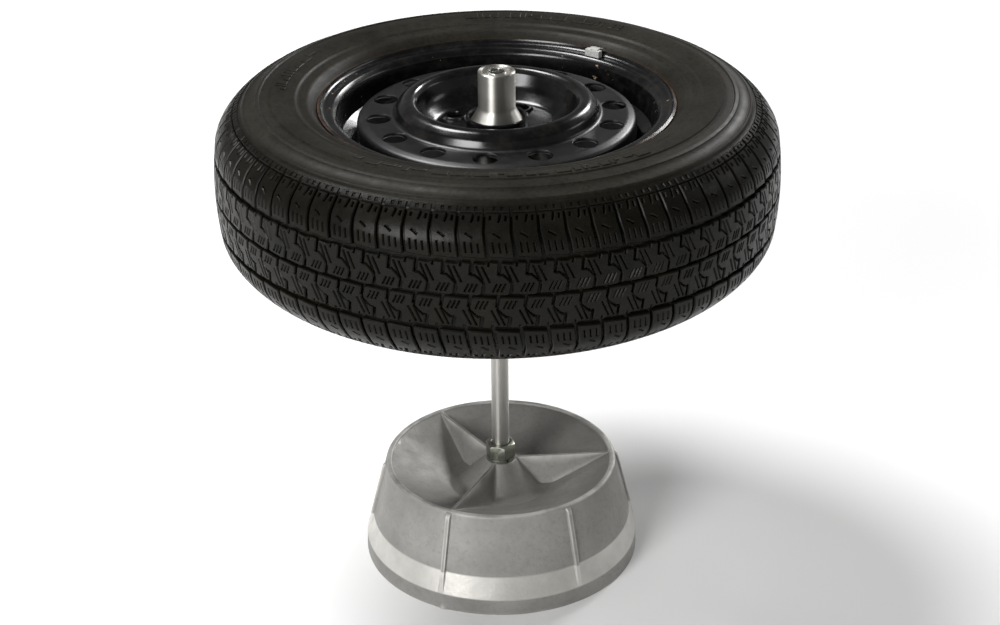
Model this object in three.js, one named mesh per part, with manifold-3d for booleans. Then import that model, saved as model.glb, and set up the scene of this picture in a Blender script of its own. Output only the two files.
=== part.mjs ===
// Portable static wheel balancer: a cast base, a steel post and a cone head with a
// spirit vial, which rocks on a ball at the top of the post. A 13-inch wheel is on the cone.
// Millimetres, +Z up. The origin is on the floor, on the post's axis.

import * as THREE from 'three';
import { mergeVertices } from 'three/addons/utils/BufferGeometryUtils.js';
import Module from 'manifold-3d';

const wasm = await Module();
wasm.setup();

// ---------------------------------------------------------------- driving dimensions

const INCH = 25.4;
const GAP = 0.3;                      // clearance between neighbouring pieces
const SIDES = 36;                     // sides of a large round
const SMALL_SIDES = 16;               // sides of a small round

// base casting
const FOOT_R = 150.7;
const SKIRT_TOP_R = 150;
const SKIRT_TOP_Z = 18.8;
const CREASE_R = 142.3;
const CREASE_Z = 42.5;
const LIP_R = 126;
const LIP_Z = 107.7;
const DISH_R = 119.3;                 // inner edge of the lip
const FLOOR_Z = 78;                   // flat floor of the dish
const FLOOR_R = 57;
const BOSS_FOOT_R = 44;
const BOSS_TOP_R = 16.5;
const BOSS_TOP_Z = 106;
const BOSS_UNDER_Z = 64;
const BOSS_UNDER_R = 30;
const WALL = 6.5;
const ARM_ANGLE = 4;                  // first star arm, degrees from +X
const ARM_COUNT = 3;
const RIB_COUNT = 6;
const RIB_WIDTH = 5.5;
const RIB_PROUD = 3;

// post and its nuts
const POST_R = 0.375 * INCH;
const POST_FOOT_Z = 38;
const POST_SHOULDER_Z = 497;
const POST_TIP_R = 8;
const POST_TIP_Z = 536.5;
const NUT_FLATS = 1.125 * INCH;
const NUT_HEIGHT = 16.3;
const NUT_TURN = -14.5;               // degrees
const LOCK_WASHER_R = 15.3;
const LOCK_WASHER_T = 3.1;
const PLAIN_WASHER_R = 18.5;
const PLAIN_WASHER_T = 3;

// ball pivot
const PIVOT_Z = 538;
const BALL_R = 0.1875 * INCH;
const CUP_R = 5.5;
const SEAT_R = 8;
const SEAT_TOP_Z = 548.7;
const FACE_FROM_PIVOT = 1;            // the cup and the seat stop this far from the ball's centre

// cone head
const HEAD_R = 0.75 * INCH;
const HEAD_TOP_Z = 559.5;
const CONE_HALF_ANGLE = 30;           // degrees
const CONE_FOOT_R = 60;
const CONE_FOOT_Z = 449;
const CONE_BAND = 4;                  // plain band below the cone
const CONE_WALL = 7;
const HEAD_BORE_R = 12.5;
const RECESS_R = 15;
const RECESS_Z = 551.5;

// spirit vial and its levelling screws
const VIAL_R = 9.9;
const VIAL_BORE_R = 9;
const VIAL_FLANGE_R = 14.6;
const VIAL_FOOT_Z = 552.9;
const VIAL_FLANGE_T = 0.8;
const VIAL_TOP_Z = 558.3;
const LIQUID_TOP_Z = 555.9;
const BUBBLE_R = 2.1;
const SCREW_CIRCLE_R = 12.4;
const SCREW_COUNT = 3;
const SCREW_R = 1.25;
const SCREW_HEAD_R = 2;
const SCREW_HEAD_T = 1.8;
const SCREW_FOOT_Z = 546;

// wheel: 13-inch rim, 5.5 inches between the flanges
const WHEEL_MID_Z = 450.4;
const RIM_HALF_WIDTH = 2.75 * INCH;
const BEAD_SEAT_R = 165.1;
const FLANGE_ARC_R = 9.5;
const FLANGE_ARC_CENTRE_R = 172.9;
const FLANGE_SWEEP = 70;              // degrees
const WELL_R = 146;
const RIM_SHEET = 3;
const DISC_SHEET = 3.5;
const HUB_BORE_R = 28.3;
const HUB_COLLAR_R = 31.5;
const HUB_COLLAR_Z = 511.8;
const HUB_FACE_Z = 500;
const DISC_SKIRT_R = WELL_R - RIM_SHEET - GAP - 0.1;
const DISC_SKIRT_FOOT_Z = 472;
const VENT_COUNT = 14;
const VENT_CIRCLE_R = 121;
const VENT_R = 12.3;
const VENT_ANGLE = 7.4;               // degrees
const LUG_COUNT = 4;
const LUG_CIRCLE_R = 50;
const LUG_HOLE_R = 7.5;
const LUG_ANGLE = 60;                 // degrees

// tyre
const TYRE_R = 289.8;
const TREAD_HALF_WIDTH = 45;
const CROWN_DROP = 3.2;
const SECTION_HALF_WIDTH = 91;
const SECTION_R = 231.5;              // where the section is widest
const SHOULDER_POWER = 1.6;           // exponent of the shoulder's curve
const TYRE_WALL = 9;

// valve and balance weight, on the face of the rim
const VALVE_ANGLE = -100;             // degrees
const VALVE_SEAT_R = 155.5;
const VALVE_SEAT_Z = WHEEL_MID_Z + 37.5;
const VALVE_TILT = 14;                // degrees, towards the axis
const WEIGHT_ANGLE = 52.3;            // degrees
const WEIGHT_LENGTH = 18;
const CLIP_WIDTH = 11;

// ---------------------------------------------------------------- materials

const paint = (color, roughness, metalness) =>
  new THREE.MeshStandardMaterial({ color, roughness, metalness });

const castAluminium = paint(0x9a9b99, 0.6, 0.8);
const steel = paint(0xb5b6b4, 0.25, 1);
const zinc = paint(0x9aa095, 0.4, 0.9);
const hardSteel = paint(0xc8c8c6, 0.15, 1);
const blackEnamel = paint(0x101112, 0.2, 0.2);
const tyreRubber = paint(0x262624, 0.85, 0);
const rubber = paint(0x1a1a1a, 0.8, 0);
const plastic = paint(0x161616, 0.5, 0);
const glass = paint(0xdfe8e0, 0.05, 0);
const liquid = paint(0xb9c95a, 0.1, 0);
const weightAlloy = paint(0xd8d9d8, 0.3, 0.9);

// ---------------------------------------------------------------- geometry helpers

const radians = THREE.MathUtils.degToRad;

// The geometry with its corners shared and its empty triangles dropped.
function closed(geometry) {
  geometry.deleteAttribute('normal');
  geometry.deleteAttribute('uv');
  const merged = mergeVertices(geometry, 1e-4);
  const index = merged.index.array;
  const kept = [];
  for (let i = 0; i < index.length; i += 3) {
    const [a, b, c] = [index[i], index[i + 1], index[i + 2]];
    if (a !== b && b !== c && c !== a) {
      kept.push(a, b, c);
    }
  }
  merged.setIndex(kept);
  return merged;
}

function solid(geometry) {
  const merged = closed(geometry);
  return new wasm.Manifold(new wasm.Mesh({
    numProp: 3,
    vertProperties: Float32Array.from(merged.attributes.position.array),
    triVerts: Uint32Array.from(merged.index.array),
  }));
}

function geometryOf(manifold) {
  const mesh = manifold.getMesh();
  const geometry = new THREE.BufferGeometry();
  geometry.setAttribute('position', new THREE.BufferAttribute(mesh.vertProperties, 3));
  geometry.setIndex(new THREE.BufferAttribute(mesh.triVerts, 1));
  return geometry;
}

// A round part about +Z, from an outline of [radius, height] points that runs
// anticlockwise. It starts and ends on the axis, or is closed by its first point.
function turned(outline, sides = SIDES) {
  const onAxis = outline[0][0] === 0;
  const points = (onAxis ? outline : [...outline, outline[0]])
    .map(([r, z]) => new THREE.Vector2(r, z));
  const geometry = new THREE.LatheGeometry(points, sides);
  geometry.rotateX(Math.PI / 2);
  return closed(geometry);
}

function disc(r, low, high, sides = SMALL_SIDES) {
  return turned([[0, low], [r, low], [r, high], [0, high]], sides);
}

function ring(inner, outer, low, high, sides = SMALL_SIDES) {
  return turned([[inner, low], [outer, low], [outer, high], [inner, high]], sides);
}

// A prism of a flat [x, y] outline, from one height to another.
function prism(outline, low, high) {
  const shape = new THREE.Shape(outline.map(([x, y]) => new THREE.Vector2(x, y)));
  const geometry = new THREE.ExtrudeGeometry(shape, { depth: high - low, bevelEnabled: false });
  geometry.translate(0, 0, low);
  return closed(geometry);
}

// The line shifted sideways by a distance, to its left where the distance is positive.
function shifted(line, distance) {
  return line.map((point, i) => {
    const before = line[Math.max(i - 1, 0)];
    const after = line[Math.min(i + 1, line.length - 1)];
    const first = i > 0 ? leftOf(before, point) : leftOf(point, after);
    const second = i < line.length - 1 ? leftOf(point, after) : first;
    const sum = [first[0] + second[0], first[1] + second[1]];
    const scale = 2 * distance / (sum[0] ** 2 + sum[1] ** 2);
    return [point[0] + sum[0] * scale, point[1] + sum[1] * scale];
  });
}

function leftOf([x0, y0], [x1, y1]) {
  const length = Math.hypot(x1 - x0, y1 - y0);
  return [(y0 - y1) / length, (x1 - x0) / length];
}

// A closed outline of pressed sheet: the line and the same line shifted by its thickness.
function sheet(line, thickness) {
  return [...line, ...shifted(line, thickness).reverse()];
}

function around(count, firstDegrees) {
  return Array.from({ length: count }, (_, i) => radians(firstDegrees + i * 360 / count));
}

// Cylinders upright on a circle, joined as one solid.
function pegs(angles, circleR, pegR, low, high, sides, topR = pegR) {
  return angles.map((angle) => {
    const peg = new THREE.CylinderGeometry(topR, pegR, high - low, sides);
    peg.rotateX(Math.PI / 2);
    peg.translate(circleR * Math.cos(angle), circleR * Math.sin(angle), (low + high) / 2);
    return solid(peg);
  }).reduce((sum, peg) => sum.add(peg));
}

const balancer = new THREE.Group();

function place(name, geometry, material) {
  const mesh = new THREE.Mesh(geometry, material);
  mesh.name = name;
  balancer.add(mesh);
}

// ---------------------------------------------------------------- base casting

// The bell, its dish, and the boss that the post goes through.
function baseShell() {
  return solid(turned([
    [POST_R + 0.5, BOSS_UNDER_Z],
    [BOSS_UNDER_R, BOSS_UNDER_Z],
    [BOSS_FOOT_R + 4, FLOOR_Z - WALL],
    [FLOOR_R + 2, FLOOR_Z - WALL],
    [DISH_R - WALL, LIP_Z - 10],
    [LIP_R - WALL, LIP_Z - 12],
    [CREASE_R - WALL, CREASE_Z],
    [SKIRT_TOP_R - WALL, SKIRT_TOP_Z],
    [FOOT_R - WALL, 0],
    [FOOT_R, 0],
    [SKIRT_TOP_R, SKIRT_TOP_Z],
    [CREASE_R, CREASE_Z],
    [LIP_R + 0.3, LIP_Z - 1.6],
    [LIP_R - 1.4, LIP_Z],
    [DISH_R + 1.6, LIP_Z],
    [DISH_R, LIP_Z - 1.8],
    [FLOOR_R, FLOOR_Z],
    [BOSS_FOOT_R, FLOOR_Z],
    [BOSS_TOP_R, BOSS_TOP_Z],
    [POST_R + 0.5, BOSS_TOP_Z],
  ]));
}

// One arm of the star in the dish: a roof with a narrow ridge, from the boss to the lip.
function starArm(angle) {
  const ridge = 1.5;
  const drop = LIP_Z - 1.7 - FLOOR_Z + 2;
  const foot = ridge + 0.39 * drop;
  const shape = new THREE.Shape([
    new THREE.Vector2(-foot, 0),
    new THREE.Vector2(foot, 0),
    new THREE.Vector2(ridge, drop),
    new THREE.Vector2(-ridge, drop),
  ]);
  const arm = new THREE.ExtrudeGeometry(shape, { depth: DISH_R - BOSS_TOP_R + 5, bevelEnabled: false });
  arm.rotateX(Math.PI / 2);
  arm.rotateZ(Math.PI / 2);
  arm.translate(BOSS_TOP_R - 3, 0, FLOOR_Z - 2);
  arm.rotateZ(angle);
  return solid(arm);
}

// One rib up the outside of the bell, standing proud of the wall and of the chamfer below it.
function outerRib(angle) {
  const shape = new THREE.Shape([
    new THREE.Vector2(LIP_R - 3, LIP_Z - 2),
    new THREE.Vector2(CREASE_R - 3, CREASE_Z),
    new THREE.Vector2(SKIRT_TOP_R - 3, SKIRT_TOP_Z - 2),
    new THREE.Vector2(SKIRT_TOP_R, SKIRT_TOP_Z - 2),
    new THREE.Vector2(CREASE_R + RIB_PROUD, CREASE_Z - 1),
    new THREE.Vector2(LIP_R + RIB_PROUD, LIP_Z - 2),
  ]);
  const rib = new THREE.ExtrudeGeometry(shape, { depth: RIB_WIDTH, bevelEnabled: false });
  rib.translate(0, 0, -RIB_WIDTH / 2);
  rib.rotateX(Math.PI / 2);
  rib.rotateZ(angle);
  return solid(rib);
}

function baseCasting() {
  const bowl = solid(turned([
    [0, FLOOR_Z - 2.5],
    [FLOOR_R, FLOOR_Z - 2.5],
    [DISH_R + 1, LIP_Z - 4],
    [DISH_R + 1, LIP_Z - 0.5],
    [0, LIP_Z - 0.5],
  ]));
  const bore = solid(disc(POST_R + 0.5, 0, LIP_Z + 1, SIDES));
  const arms = around(ARM_COUNT, ARM_ANGLE).map(starArm).reduce((sum, arm) => sum.add(arm));
  const ribs = around(RIB_COUNT, ARM_ANGLE).map(outerRib).reduce((sum, rib) => sum.add(rib));
  return geometryOf(baseShell().add(arms.intersect(bowl)).subtract(bore).add(ribs));
}

place('base_casting', baseCasting(), castAluminium);

// ---------------------------------------------------------------- post and its nuts

const tipBoreR = CUP_R + GAP;
const tipBoreZ = POST_TIP_Z - 10;

place('post', turned([
  [0, POST_FOOT_Z],
  [POST_R - 1.5, POST_FOOT_Z],
  [POST_R, POST_FOOT_Z + 1.5],
  [POST_R, POST_SHOULDER_Z],
  [POST_TIP_R, POST_SHOULDER_Z + 2],
  [POST_TIP_R, POST_TIP_Z - 0.5],
  [POST_TIP_R - 0.5, POST_TIP_Z],
  [tipBoreR, POST_TIP_Z],
  [tipBoreR, tipBoreZ],
  [0, tipBoreZ],
], SMALL_SIDES), steel);

// A full hexagon nut with its corners turned off at both faces.
function hexNut(low) {
  const cornerR = NUT_FLATS / 2 / Math.cos(Math.PI / 6);
  const corners = around(6, NUT_TURN).map((a) => [cornerR * Math.cos(a), cornerR * Math.sin(a)]);
  const chamfer = cornerR - NUT_FLATS / 2;
  const high = low + NUT_HEIGHT;
  const envelope = solid(turned([
    [0, low],
    [NUT_FLATS / 2, low],
    [cornerR + 0.1, low + chamfer * 0.6],
    [cornerR + 0.1, high - chamfer * 0.6],
    [NUT_FLATS / 2, high],
    [0, high],
  ], SMALL_SIDES));
  const bore = solid(disc(POST_R + 0.4, low - 1, high + 1));
  return geometryOf(solid(prism(corners, low, high)).intersect(envelope).subtract(bore));
}

// A spring washer with its slit.
function lockWasher(low) {
  const washer = solid(ring(POST_R + 0.6, LOCK_WASHER_R, low, low + LOCK_WASHER_T));
  const slit = new THREE.BoxGeometry(LOCK_WASHER_R, 2, LOCK_WASHER_T + 2);
  slit.translate(LOCK_WASHER_R / 2 + 2, 0, low + LOCK_WASHER_T / 2);
  slit.rotateZ(radians(-60));
  return geometryOf(washer.subtract(solid(slit)));
}

const lockWasherZ = BOSS_TOP_Z + GAP;
const upperNutZ = lockWasherZ + LOCK_WASHER_T + GAP;
const plainWasherZ = BOSS_UNDER_Z - GAP - PLAIN_WASHER_T;
const lowerNutZ = plainWasherZ - GAP - NUT_HEIGHT;

place('lock_washer', lockWasher(lockWasherZ), zinc);
place('upper_nut', hexNut(upperNutZ), zinc);
place('plain_washer',
  ring(POST_R + 0.6, PLAIN_WASHER_R, plainWasherZ, plainWasherZ + PLAIN_WASHER_T), zinc);
place('lower_nut', hexNut(lowerNutZ), zinc);

// ---------------------------------------------------------------- ball pivot

// Points of a ball's meridian, between two heights above its centre.
function meridian(r, fromHeight, toHeight, steps) {
  const start = Math.asin(fromHeight / r);
  const end = Math.asin(toHeight / r);
  return Array.from({ length: steps + 1 }, (_, i) => {
    const angle = start + (end - start) * i / steps;
    return [i === steps && Math.abs(toHeight) === r ? 0 : r * Math.cos(angle),
      PIVOT_Z + r * Math.sin(angle)];
  });
}

const socketR = BALL_R + GAP;

place('pivot_cup', turned([
  [0, tipBoreZ + GAP],
  [CUP_R, tipBoreZ + GAP],
  [CUP_R, PIVOT_Z - FACE_FROM_PIVOT],
  ...meridian(socketR, -FACE_FROM_PIVOT, -socketR, 6),
], SMALL_SIDES), hardSteel);

const ball = new THREE.SphereGeometry(BALL_R, SMALL_SIDES, 12);
ball.rotateX(Math.PI / 2);
ball.translate(0, 0, PIVOT_Z);
place('pivot_ball', closed(ball), hardSteel);

place('pivot_seat', turned([
  ...meridian(socketR, FACE_FROM_PIVOT, socketR, 6).reverse(),
  [SEAT_R, PIVOT_Z + FACE_FROM_PIVOT],
  [SEAT_R, SEAT_TOP_Z],
  [0, SEAT_TOP_Z],
], SMALL_SIDES), hardSteel);

// ---------------------------------------------------------------- cone head

const coneSlope = Math.tan(radians(CONE_HALF_ANGLE));
const flareZ = CONE_FOOT_Z + (CONE_FOOT_R - HEAD_R) / coneSlope;
const boreFootZ = CONE_FOOT_Z + (CONE_FOOT_R - CONE_WALL - HEAD_BORE_R) / coneSlope;

function balancerHead() {
  const body = solid(turned([
    [0, SEAT_TOP_Z + GAP],
    [SEAT_R + GAP, SEAT_TOP_Z + GAP],
    [SEAT_R + GAP, PIVOT_Z + FACE_FROM_PIVOT / 2],
    [HEAD_BORE_R, PIVOT_Z + FACE_FROM_PIVOT / 2],
    [HEAD_BORE_R, boreFootZ],
    [CONE_FOOT_R - CONE_WALL, CONE_FOOT_Z],
    [CONE_FOOT_R - CONE_WALL, CONE_FOOT_Z - CONE_BAND],
    [CONE_FOOT_R, CONE_FOOT_Z - CONE_BAND],
    [CONE_FOOT_R, CONE_FOOT_Z],
    [HEAD_R, flareZ],
    [HEAD_R, HEAD_TOP_Z - 1],
    [HEAD_R - 1, HEAD_TOP_Z],
    [RECESS_R + 0.6, HEAD_TOP_Z],
    [RECESS_R, HEAD_TOP_Z - 0.6],
    [RECESS_R, RECESS_Z],
    [0, RECESS_Z],
  ], SIDES));
  const screwHoles = pegs(around(SCREW_COUNT, 90), SCREW_CIRCLE_R, SCREW_R + GAP,
    SCREW_FOOT_Z - 0.5, RECESS_Z + 1, 12);
  return geometryOf(body.subtract(screwHoles));
}

place('balancer_head', balancerHead(), steel);

// ---------------------------------------------------------------- spirit vial

place('levelling_pad', ring(7, 9.5, RECESS_Z + GAP, VIAL_FOOT_Z - GAP), rubber);

function vialCup() {
  const cup = solid(turned([
    [0, VIAL_FOOT_Z],
    [VIAL_FLANGE_R, VIAL_FOOT_Z],
    [VIAL_FLANGE_R, VIAL_FOOT_Z + VIAL_FLANGE_T],
    [VIAL_R, VIAL_FOOT_Z + VIAL_FLANGE_T],
    [VIAL_R, VIAL_TOP_Z],
    [VIAL_BORE_R, VIAL_TOP_Z],
    [VIAL_BORE_R, VIAL_FOOT_Z + VIAL_FLANGE_T + 0.1],
    [0, VIAL_FOOT_Z + VIAL_FLANGE_T + 0.1],
  ], SMALL_SIDES));
  const holes = pegs(around(SCREW_COUNT, 90), SCREW_CIRCLE_R, SCREW_R + GAP,
    VIAL_FOOT_Z - 1, VIAL_FOOT_Z + VIAL_FLANGE_T + 1, 12);
  return geometryOf(cup.subtract(holes));
}

place('vial_cup', vialCup(), steel);

const vialInsideR = VIAL_BORE_R - GAP;
place('vial_liquid',
  disc(vialInsideR, VIAL_FOOT_Z + VIAL_FLANGE_T + 0.1 + GAP, LIQUID_TOP_Z), liquid);

const bubbleZ = LIQUID_TOP_Z + GAP;
place('vial_bubble', turned([
  [0, bubbleZ],
  [BUBBLE_R * 0.8, bubbleZ + 0.1],
  [BUBBLE_R, bubbleZ + 0.4],
  [BUBBLE_R * 0.8, bubbleZ + 0.7],
  [0, bubbleZ + 0.8],
], SMALL_SIDES), glass);

const lensZ = bubbleZ + 0.8 + GAP;
place('vial_lens', turned([
  [0, lensZ],
  [vialInsideR, lensZ],
  [vialInsideR, VIAL_TOP_Z - 0.1],
  [7.6, VIAL_TOP_Z - 0.1],
  [7.2, VIAL_TOP_Z + 0.4],
  [3.8, VIAL_TOP_Z + 0.8],
  [0, VIAL_TOP_Z + 0.9],
], SMALL_SIDES), glass);

place('vial_bezel', ring(7.9, VIAL_R, VIAL_TOP_Z + 0.2, VIAL_TOP_Z + 0.9), steel);

// A screw with a round head over the vial's flange and its shank in the head.
function levelScrew(angle) {
  const headZ = VIAL_FOOT_Z + VIAL_FLANGE_T + GAP;
  const screw = turned([
    [0, SCREW_FOOT_Z],
    [SCREW_R, SCREW_FOOT_Z],
    [SCREW_R, headZ],
    [SCREW_HEAD_R, headZ],
    [SCREW_HEAD_R, headZ + SCREW_HEAD_T - 0.3],
    [SCREW_HEAD_R - 0.3, headZ + SCREW_HEAD_T],
    [0, headZ + SCREW_HEAD_T],
  ], 12);
  screw.translate(SCREW_CIRCLE_R * Math.cos(angle), SCREW_CIRCLE_R * Math.sin(angle), 0);
  return screw;
}

around(SCREW_COUNT, 90).forEach((angle, i) => {
  place(`level_screw_${i + 1}`, levelScrew(angle), hardSteel);
});

// ---------------------------------------------------------------- rim

// The tyre's side of one half of the rim, from the flange's lip to the well.
function rimHalf(ledge) {
  const curl = Array.from({ length: 4 }, (_, i) => {
    const angle = radians(FLANGE_SWEEP * (1 - i / 3));
    return [FLANGE_ARC_CENTRE_R + FLANGE_ARC_R * Math.sin(angle),
      RIM_HALF_WIDTH + FLANGE_ARC_R * (1 - Math.cos(angle))];
  });
  return [
    ...curl,
    [BEAD_SEAT_R + 3.4, RIM_HALF_WIDTH],
    [BEAD_SEAT_R, RIM_HALF_WIDTH - 3.5],
    [BEAD_SEAT_R - 1.5, RIM_HALF_WIDTH - 21],
    ...ledge,
  ];
}

function wheelRim() {
  const upperLedge = [[161.5, 41], [149.5, 34], [WELL_R, 29.5]];
  const lowerLedge = [[150, 30], [WELL_R, 22]];
  const upper = rimHalf(upperLedge).map(([r, z]) => [r, WHEEL_MID_Z + z]).reverse();
  const lower = rimHalf(lowerLedge).map(([r, z]) => [r, WHEEL_MID_Z - z]);
  const outline = sheet([...lower, ...upper], RIM_SHEET);
  const valveHole = solid(valvePiece([[0, -8], [6.5, -8], [6.5, 10], [0, 10]]));
  return geometryOf(solid(turned(outline)).subtract(valveHole));
}

// ---------------------------------------------------------------- disc

// The face of the disc from the hub outwards, and down its skirt.
function discFace() {
  return [
    [35, HUB_FACE_Z + 0.3],
    [63, HUB_FACE_Z + 0.3],
    [76.5, 513],
    [81, 525],
    [87, 530.4],
    [93, 530.4],
    [98, 525.5],
    [103, 517],
    [108, 515.2],
    [134, 514.8],
    [DISC_SKIRT_R - 1.4, 510.5],
    [DISC_SKIRT_R, 503],
    [DISC_SKIRT_R, DISC_SKIRT_FOOT_Z],
  ];
}

function wheelDisc() {
  const face = discFace();
  const under = shifted(face, -DISC_SHEET);
  const collar = [
    [32.4, 498.2],
    [30.6, 500.9],
    [29, 503.5],
    [HUB_BORE_R, 505],
    [HUB_BORE_R, HUB_COLLAR_Z],
    [HUB_COLLAR_R, HUB_COLLAR_Z],
    [HUB_COLLAR_R, 504],
  ].reverse();
  const body = solid(turned([...collar, ...under, ...face.reverse()]));
  const vents = pegs(around(VENT_COUNT, VENT_ANGLE), VENT_CIRCLE_R, VENT_R, 505, 525, 12);
  const lugs = around(LUG_COUNT, LUG_ANGLE);
  const seats = pegs(lugs, LUG_CIRCLE_R, 13.5, HUB_FACE_Z - 1, HUB_FACE_Z + 3.5, 12, 10.5);
  const lugHoles = pegs(lugs, LUG_CIRCLE_R, LUG_HOLE_R, HUB_FACE_Z - 10, HUB_FACE_Z + 10, 12);
  return geometryOf(body.subtract(vents).add(seats).subtract(lugHoles));
}

// ---------------------------------------------------------------- tyre

// Half of the tyre's outside, from the middle of the tread to the bead's heel.
function tyreHalf() {
  const steps = 5;
  const crown = [[TYRE_R, 0], [TYRE_R - CROWN_DROP / 4, TREAD_HALF_WIDTH / 2]];
  const edgeR = TYRE_R - CROWN_DROP;
  const power = 2 / SHOULDER_POWER;
  const shoulder = Array.from({ length: steps + 1 }, (_, i) => {
    const angle = Math.PI / 2 * (1 - i / steps);
    return [SECTION_R + (edgeR - SECTION_R) * Math.sin(angle) ** power,
      TREAD_HALF_WIDTH + (SECTION_HALF_WIDTH - TREAD_HALF_WIDTH) * Math.cos(angle) ** power];
  });
  return [
    ...crown,
    ...shoulder,
    [211, SECTION_HALF_WIDTH - 2],
    [196, SECTION_HALF_WIDTH - 7.5],
  ];
}

// The bead, clear of the rim's flange and seat.
function tyreBead() {
  const seatZ = RIM_HALF_WIDTH;
  return [
    [188.5, seatZ + 11],
    [184, seatZ + 6.5],
    [180.6, seatZ + 2.7],
    [176.9, seatZ + 0.3],
    [172.9, seatZ - GAP - 0.1],
    [BEAD_SEAT_R + 3.4, seatZ - GAP - 0.1],
    [BEAD_SEAT_R + 0.5, seatZ - 3.8],
    [BEAD_SEAT_R - 0.6, seatZ - 17],
    [BEAD_SEAT_R + 5, seatZ - 17],
  ];
}

function tyre() {
  const beads = tyreBead().map(([r, z]) => [r, WHEEL_MID_Z + z]);
  const lowerBeads = tyreBead().map(([r, z]) => [r, WHEEL_MID_Z - z]);
  const half = tyreHalf();
  const upper = half.slice(1).map(([r, z]) => [r, WHEEL_MID_Z + z]);
  const lower = half.slice(1).map(([r, z]) => [r, WHEEL_MID_Z - z]).reverse();
  const innerR = TYRE_R - 14;
  const innerHalf = SECTION_HALF_WIDTH - TYRE_WALL;
  const inside = [
    [198, WHEEL_MID_Z + innerHalf - 8],
    [232, WHEEL_MID_Z + innerHalf],
    [258, WHEEL_MID_Z + innerHalf - 12],
    [innerR - 3, WHEEL_MID_Z + TREAD_HALF_WIDTH],
    [innerR, WHEEL_MID_Z],
    [innerR - 3, WHEEL_MID_Z - TREAD_HALF_WIDTH],
    [258, WHEEL_MID_Z - innerHalf + 12],
    [232, WHEEL_MID_Z - innerHalf],
    [198, WHEEL_MID_Z - innerHalf + 8],
  ];
  return turned([
    ...lowerBeads.reverse(),
    ...lower,
    [TYRE_R, WHEEL_MID_Z],
    ...upper,
    ...beads,
    ...inside,
  ]);
}

// ---------------------------------------------------------------- valve and balance weight

// A piece of the snap-in valve: an outline about the valve's axis, from the rim's surface.
function valvePiece(outline) {
  const piece = turned(outline, 12);
  piece.rotateY(radians(-VALVE_TILT));
  piece.translate(VALVE_SEAT_R, 0, VALVE_SEAT_Z);
  piece.rotateZ(radians(VALVE_ANGLE));
  return piece;
}

// The bar of a clip-on weight, bent to the inside of the rim's flange.
function weightBar() {
  const innerR = 167;
  const outerR = 173.2;
  const half = WEIGHT_LENGTH / 2 / outerR;
  const shape = new THREE.Shape();
  shape.absarc(0, 0, outerR, -half, half, false);
  shape.absarc(0, 0, innerR, half, -half, true);
  const bar = new THREE.ExtrudeGeometry(shape, { depth: 7, bevelEnabled: false, curveSegments: 4 });
  bar.translate(0, 0, WHEEL_MID_Z + RIM_HALF_WIDTH + 3.8);
  bar.rotateZ(radians(WEIGHT_ANGLE));
  return closed(bar);
}

// The spring clip from the bar over the lip of the flange.
function weightClip() {
  const z = WHEEL_MID_Z + RIM_HALF_WIDTH;
  const strip = sheet([
    [168.5, z + 11.2],
    [174.5, z + 11.2],
    [181, z + 9.2],
    [182.3, z + 7.9],
    [182.5, z + 6.8],
  ], 0.9).map(([x, y]) => new THREE.Vector2(x, y));
  const clip = new THREE.ExtrudeGeometry(
    new THREE.Shape(strip), { depth: CLIP_WIDTH, bevelEnabled: false });
  clip.translate(0, 0, -CLIP_WIDTH / 2);
  clip.rotateX(Math.PI / 2);
  clip.rotateZ(radians(WEIGHT_ANGLE));
  return closed(clip);
}

place('wheel_rim', wheelRim(), blackEnamel);
place('wheel_disc', wheelDisc(), blackEnamel);
place('tyre', tyre(), tyreRubber);

place('valve_stem', valvePiece([
  [0, -11],
  [8.5, -11],
  [8.5, -3.2],
  [5.6, -3.2],
  [5.6, 5.5],
  [4.3, 8],
  [3.9, 15],
  [0, 15],
]), rubber);
place('valve_cap', valvePiece([
  [0, 15 + GAP],
  [4.6, 15 + GAP],
  [4.6, 22.5],
  [3.8, 23.5],
  [0, 23.5],
]), plastic);
place('balance_weight', weightBar(), weightAlloy);
place('weight_clip', weightClip(), weightAlloy);

export default balancer;
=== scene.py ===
"""The looks of a portable static wheel balancer with a 13-inch wheel on its cone.

Outlines are in millimetres, [radius, height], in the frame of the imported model: +Z up, the origin on
the floor on the post's axis. A third value is the radius of the corner's round. The frame gives each
part's place; the round parts are turned again here with finer sections and soft edges, and the tyre
gets its tread.
"""

import math
import random

import bmesh
import bpy
import numpy as np
from mathutils import Matrix, Vector


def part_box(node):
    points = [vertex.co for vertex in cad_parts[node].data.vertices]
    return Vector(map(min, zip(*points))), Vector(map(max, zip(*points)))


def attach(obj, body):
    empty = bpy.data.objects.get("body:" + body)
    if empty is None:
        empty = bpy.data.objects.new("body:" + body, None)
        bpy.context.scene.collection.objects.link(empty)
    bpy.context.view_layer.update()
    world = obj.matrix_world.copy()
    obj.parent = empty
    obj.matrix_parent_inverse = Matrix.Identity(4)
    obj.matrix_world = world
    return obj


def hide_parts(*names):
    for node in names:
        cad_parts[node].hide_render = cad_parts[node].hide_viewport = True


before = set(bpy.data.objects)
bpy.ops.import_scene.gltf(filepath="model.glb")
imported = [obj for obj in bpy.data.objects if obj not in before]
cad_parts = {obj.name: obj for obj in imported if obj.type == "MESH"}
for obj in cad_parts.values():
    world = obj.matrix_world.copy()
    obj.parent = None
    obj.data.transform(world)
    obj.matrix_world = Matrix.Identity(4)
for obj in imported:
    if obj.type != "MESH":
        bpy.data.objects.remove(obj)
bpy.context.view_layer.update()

MM = 0.001
ON_AXIS = 1e-6                  # a radius below this one is on the axis
TAU = 2 * math.pi


def top(node):
    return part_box(node)[1][2] / MM


def foot(node):
    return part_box(node)[0][2] / MM


def radius(node):
    low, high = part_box(node)
    return (high[0] - low[0]) / 2 / MM


# ------------------------------ camera, floor and light

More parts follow.
